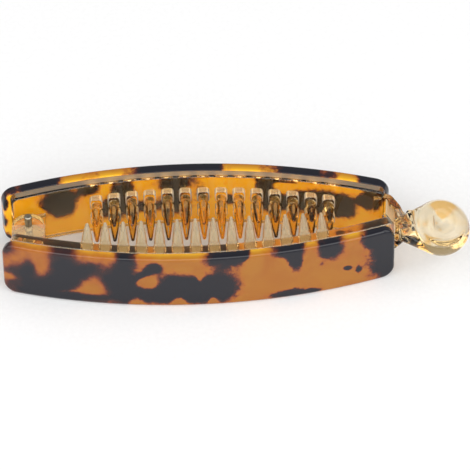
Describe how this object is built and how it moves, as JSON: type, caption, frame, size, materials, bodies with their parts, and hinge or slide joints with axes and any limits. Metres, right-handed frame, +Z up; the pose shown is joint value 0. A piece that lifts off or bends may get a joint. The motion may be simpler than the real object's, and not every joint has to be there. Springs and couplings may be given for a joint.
{
  "type": "hinged comb barrette",
  "caption": "Bowed banana-style hair barrette: two tortoiseshell covers on clear combs with interleaving teeth, joined by a pin hinge and closed by a snap catch with a thumb knob.",
  "frame": {"origin": "On the surface that the closed barrette rests on, under the centre of its bounding box", "axes": "+X from the hinge to the thumb knob, +Y the way the rear half opens, +Z up, along the hinge pin"},
  "size_m": [0.1186, 0.035, 0.0178],
  "materials": {
    "tortoiseshell_acetate": "polished",
    "clear_comb": "clear amber-tinted plastic, polished",
    "pin_steel": "bright"
  },
  "bodies": {
    "front_half": {"front_cover": "tortoiseshell_acetate", "front_comb_back": "clear_comb", "front_upper_lug": "clear_comb", "front_lower_lug": "clear_comb", "hinge_pin": "pin_steel", "front_teeth_01": "clear_comb", "front_teeth_02": "clear_comb", "front_teeth_03": "clear_comb", "front_teeth_04": "clear_comb", "front_teeth_05": "clear_comb", "front_teeth_06": "clear_comb", "front_teeth_07": "clear_comb", "front_teeth_08": "clear_comb", "front_teeth_09": "clear_comb", "front_teeth_10": "clear_comb", "front_teeth_11": "clear_comb", "front_teeth_12": "clear_comb", "front_teeth_13": "clear_comb", "front_teeth_14": "clear_comb"},
    "rear_half": {"rear_cover": "tortoiseshell_acetate", "rear_comb_back": "clear_comb", "rear_lug": "clear_comb", "catch_arm": "clear_comb", "rear_end_rib": "clear_comb", "rear_teeth_01": "clear_comb", "rear_teeth_02": "clear_comb", "rear_teeth_03": "clear_comb", "rear_teeth_04": "clear_comb", "rear_teeth_05": "clear_comb", "rear_teeth_06": "clear_comb", "rear_teeth_07": "clear_comb", "rear_teeth_08": "clear_comb", "rear_teeth_09": "clear_comb", "rear_teeth_10": "clear_comb", "rear_teeth_11": "clear_comb", "rear_teeth_12": "clear_comb", "rear_teeth_13": "clear_comb", "rear_teeth_14": "clear_comb"},
    "thumb_tongue": {"tongue_neck": "clear_comb", "tongue_nose": "clear_comb", "thumb_knob": "clear_comb"}
  },
  "joints": [
    {"name": "main_hinge", "type": "hinge", "parent": "front_half", "child": "rear_half", "pos_m": [-0.0522, 0, 0.00835], "axis": [0, 0, 1], "range_deg": [0, 75]},
    {"name": "tongue_flex", "type": "hinge", "parent": "front_half", "child": "thumb_tongue", "pos_m": [0.0401, -0.00631, 0.011], "axis": [0, 0, -1], "range_deg": [0, 6], "stiffness_Nm_per_rad": 0.6}
  ]
}
